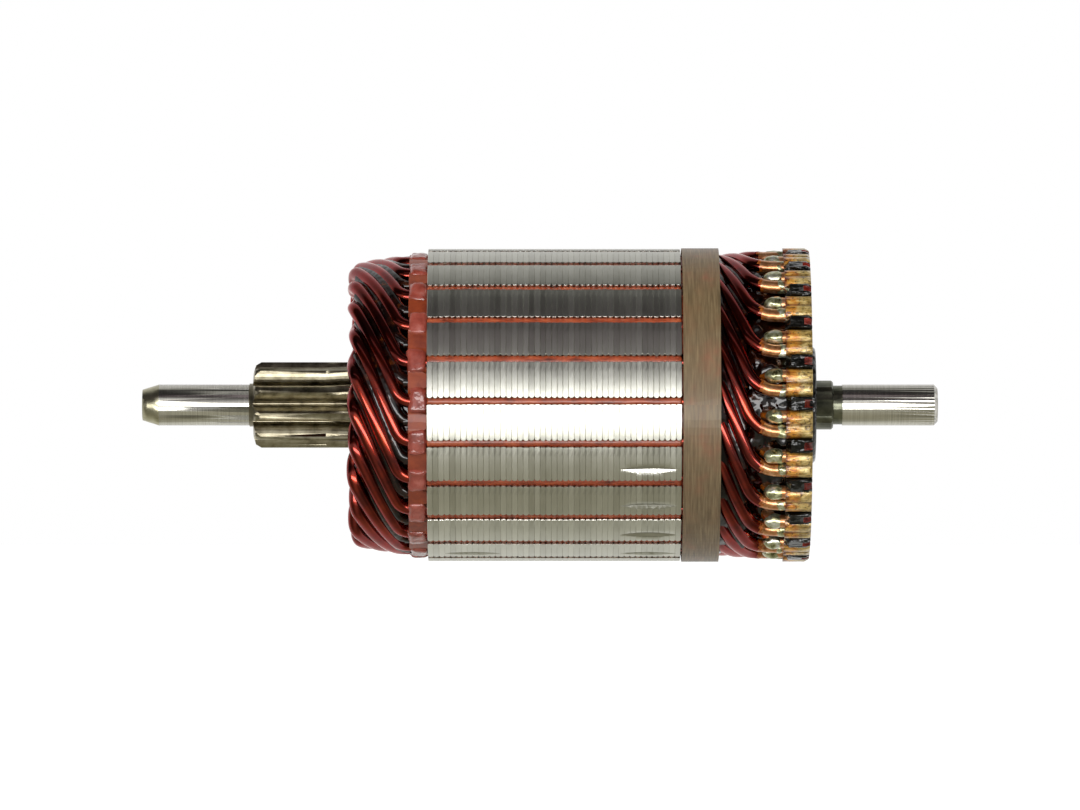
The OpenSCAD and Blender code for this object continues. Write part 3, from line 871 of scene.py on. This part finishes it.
def varnish_skins():
    """The varnish that lies under the outer wires at both ends, and the fillet that it makes
    between the band and the leads."""
    settle(varnish_tube("varnish_under_wires", KNUCKLE_X + 1.2 * MM, OVERHANG_R - 1.0 * MM,
                        CORE_START - DRIVE_CUFF + 0.5 * MM, LAYER_R - 1.2 * MM, 16,
                        2.2 * MM, 0.5 * MM), "band_resin")
    settle(varnish_tube("band_fillet", BAND_END - 0.2 * MM, LAYER_R + 1.45 * MM,
                        BAND_END + 2.4 * MM, LAYER_R + 0.2 * MM, 6,
                        2.6 * MM, 0.35 * MM), "band_resin")


# ---- Slot paper and varnish ----

def paper_cuff(length):
    """The end of a slot's paper: a soft-edged block round its two wires."""
    floor_r = INNER_LAYER_R - CUFF_HALF + 0.25 * MM
    bpy.ops.mesh.primitive_cube_add(size=1, location=(0, (CUFF_TOP_R + floor_r) / 2, 0))
    cuff = bpy.context.object
    cuff.scale = (length, CUFF_TOP_R - floor_r, 2 * (CUFF_HALF + CUFF_SHOULDER))
    apply_place(cuff)
    edit(cuff)
    bpy.ops.mesh.bevel(offset=1.15 * MM, segments=4, affect="EDGES")
    bpy.ops.mesh.select_all(action="SELECT")
    bpy.ops.mesh.subdivide(number_cuts=2)
    leave_edit()
    return cuff


def slot_papers():
    """The papers' cuffs on both ends of the core."""
    cuffs = []
    for x, length in ((CORE_START - DRIVE_CUFF / 2, DRIVE_CUFF),
                      (CORE_END + REAR_CUFF / 2, REAR_CUFF)):
        first = paper_cuff(length)
        cuffs += [copy_of(first, "cuff", slot_angle(k) + math.radians(rng.uniform(-0.5, 0.5)),
                          x + rng.uniform(-0.05, 0.3) * MM) for k in range(SLOTS)]
        remove(first)
    cuffs = join(cuffs, "slot_paper_cuffs")
    clothe(cuffs, CUFF_PAPER)
    roughen(cuffs, 2.0 * MM, 0.8 * MM, 0.6)
    smooth(cuffs, 60)
    settle(cuffs, "liner_paper", "slot_liners")


def slot_fillings():
    """Varnish set in the slot mouths, sunk a little below the teeth."""
    fills = []
    for k in range(SLOTS):
        top_r = CORE_R - 0.5 * MM
        bpy.ops.mesh.primitive_cube_add(size=1, location=((CORE_START + CORE_END) / 2,
                                                          top_r - 0.4 * MM, 0))
        fill = bpy.context.object
        fill.scale = (CORE_END - CORE_START, 0.8 * MM, MOUTH_W + 0.3 * MM)
        apply_place(fill)
        apply_modifier(fill, "BEVEL", width=0.2 * MM, segments=1)
        edit(fill)
        pick(fill, "EDGE", lambda edge: abs(edge.verts[0].co.x - edge.verts[1].co.x) > 20 * MM)
        bpy.ops.mesh.subdivide(number_cuts=60)
        leave_edit()
        fill.data.transform(Matrix.Rotation(slot_angle(k), 4, "X"))
        fills.append(fill)
    fills = join(fills, "slot_varnish")
    clothe(fills, SLOT_VARNISH)
    roughen(fills, 1.5 * MM, 0.2 * MM)
    smooth(fills, 60)
    settle(fills, "liner_paper")


# ---- Commutator ----

def commutator_bars():
    for k in range(1, SLOTS + 1):
        name = "commutator_bar_%02d" % k
        bar = dressed_copy(name, BAR_COPPER)
        apply_modifier(bar, "BEVEL", width=0.14 * MM, segments=2, limit_method="ANGLE",
                       angle_limit=math.radians(40))
        smooth(bar, 50)
        settle(bar, "bar_copper", name)


def lead_joints():
    """The braze that fills the claw round the upper lead of each bar, and bridges to the
    lower one."""
    blobs = []
    for k in range(1, SLOTS + 1):
        for side, size, back in ((1, 1.0, 1.9 * MM), (-1, rng.uniform(0.86, 0.95), 0.6 * MM)):
            bpy.ops.mesh.primitive_ico_sphere_add(subdivisions=4, radius=1.5 * MM * size,
                                                  location=(BARS_BACK - back, LEAD_R, 0))
            blob = bpy.context.object
            blob.scale = (rng.uniform(1.35, 1.65), 1, 1)
            apply_place(blob)
            turn = bar_angle(k - 1) - side * LEAD_HALF_TURN
            blob.data.transform(Matrix.Rotation(turn, 4, "X"))
            blobs.append(blob)
    blobs = join(blobs, "lead_joints")
    clothe(blobs, BRAZE)
    roughen(blobs, 1.4 * MM, 0.5 * MM, 0.55)
    smooth(blobs, 60)
    settle(blobs, "bar_copper")


def varnish_pool():
    """Varnish gathered behind the bars, thick and dark between the leads."""
    pool = varnish_tube("varnish_pool", BARS_BACK - 7 * MM, 26.6 * MM, BARS_BACK + 0.2 * MM,
                        27.4 * MM, 20, 2.4 * MM, 1.8 * MM)
    settle(pool, "moulding_resin")


# ---- Assembly ----

def plain_parts():
    """The parts whose CAD shape is already right, with their curves shaded smooth."""
    settle(dressed_copy("shaft", SHAFT_STEEL, 14), "shaft_steel", "shaft")
    settle(dressed_copy("band", BAND_GLASS), "band_resin", "band")
    moulding = dressed_copy("commutator_moulding", PHENOLIC)
    settle(moulding, "moulding_resin", "commutator_moulding")
    for name in ("insulating_disc_drive", "insulating_disc_rear"):
        settle(dressed_copy(name, FIBRE), "fibre", name)


# ---- Studio ----

def studio_world():
    """A white studio: white to the camera and behind the object, dark flags above, below and
    at the sides, and a soft lamp beside the camera."""
    world = bpy.data.worlds.new("studio")
    bpy.context.scene.world = world
    world.use_nodes = True
    tree = world.node_tree
    tree.nodes.clear()
    direction = add(tree, "TexCoord").outputs["Generated"]
    part = add(tree, "SeparateXYZ", {}, {"Vector": direction}).outputs
    ahead = math_node(tree, "MULTIPLY", part["Y"], -1)
    rise = math_node(tree, "ARCTAN2", part["Z"], ahead)
    turn = spread(tree, rise, 0, 1, -math.pi, math.pi)
    panels = [(-180, "#f4f4f4"), (-143, "#e7e7e2"), (-111, "#cfcfc4"), (-98, "#a5a493"),
              (-85, "#8c8976"), (-60, "#928f7e"), (-28, "#a3a294"), (-22, "#f4f4f2"),
              (17, "#f8f8f8"), (24, "#8c8a8a"), (31, "#3c383a"), (60, "#322e30"),
              (94, "#343434"), (102, "#94948f"), (120, "#bcbcba"), (145, "#e7e7e7"),
              (180, "#f4f4f4")]
    sky = ramp(tree, turn, [(0.5 + rise_degrees / 360, tone) for rise_degrees, tone in panels])
    side = add(tree, "MapRange", {"From Min": 0.15, "From Max": 0.6, "To Min": 1.25, "To Max": 0.5},
               {"Value": math_node(tree, "ABSOLUTE", part["X"], 0)}).outputs[0]
    facing = spread(tree, ahead, 0, 1, -0.1, 0.3)
    level = add(tree, "Mix", {2: 1.0}, {0: facing, 3: side}, data_type="FLOAT").outputs[0]
    glow = 0.0
    for low, high, half_width, brightness in ((-12, 0, 0.6, 8.0), (48, 52, 0.5, 9.0)):
        middle = math.radians((low + high) / 2)
        half = math.radians((high - low) / 2)
        off = math_node(tree, "ABSOLUTE", math_node(tree, "SUBTRACT", rise, middle), 0)
        tall = spread(tree, off, 1, 0, half, half + math.radians(3))
        off = math_node(tree, "ABSOLUTE", part["X"], 0)
        wide = spread(tree, off, 1, 0, half_width, half_width + 0.05)
        lamp = math_node(tree, "MULTIPLY", math_node(tree, "MULTIPLY", tall, wide), brightness)
        glow = math_node(tree, "ADD", lamp, glow)
    strength = math_node(tree, "ADD", level, glow)
    lit = add(tree, "Background", {}, {"Color": sky, "Strength": strength})
    white = add(tree, "Background", {"Color": (1, 1, 1, 1), "Strength": 1.0})
    seen = add(tree, "LightPath").outputs["Is Camera Ray"]
    both = add(tree, "MixShader", {}, {0: seen, 1: lit.outputs[0], 2: white.outputs[0]})
    add(tree, "OutputWorld", {}, {"Surface": both.outputs[0]})


def softbox(name, place, size, power):
    """A large lamp that lights matt surfaces, and isn't mirrored in the metal."""
    bpy.ops.object.light_add(type="AREA", location=place)
    lamp = bpy.context.object
    lamp.name = name
    lamp.data.size = size
    lamp.data.energy = power
    lamp.rotation_euler = (-Vector(place)).to_track_quat("-Z", "Y").to_euler()
    lamp.visible_glossy = False


def pale_floor():
    """A pale floor well below the part, which is held by its journals."""
    bpy.ops.mesh.primitive_plane_add(size=6, location=(0, 0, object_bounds()[0].z - FLOOR_DROP))
    floor = bpy.context.object
    floor.name = "floor"
    apply_place(floor)
    floor.visible_glossy = False
    material, tree, shader = new_material("pale floor paint", Roughness=0.9)
    grain = noise(tree, lengths(tree, 6 * MM))
    tree.links.new(ramp(tree, grain, [(0.3, "#f2f2f2"), (0.7, "#f6f6f6")]),
                   shader.inputs["Base Color"])
    seen = add(tree, "LightPath").outputs["Is Camera Ray"]
    shader.inputs["Emission Color"].default_value = (1, 1, 1, 1)
    tree.links.new(math_node(tree, "MULTIPLY", seen, 0.8), shader.inputs["Emission Strength"])
    clothe(floor, material)


def camera():
    """A long lens, level with the shaft and square to it."""
    bpy.ops.object.camera_add(location=(0, -CAMERA_DISTANCE, 0), rotation=(math.pi / 2, 0, 0))
    view = bpy.context.object
    view.data.lens = LENS_MM
    view.data.sensor_width = SENSOR_MM
    bpy.context.scene.camera = view


bpy.context.scene.view_settings.view_transform = "Standard"
camera()
studio_world()
softbox("key", (-0.3, -0.9, 0.8), 0.8, 10)
softbox("fill", (0.5, -1.0, -0.5), 0.8, 7)
pale_floor()
lamination_stack()
winding()
varnish_between_wires()
varnish_skins()
slot_papers()
slot_fillings()
commutator_bars()
lead_joints()
varnish_pool()
plain_parts()
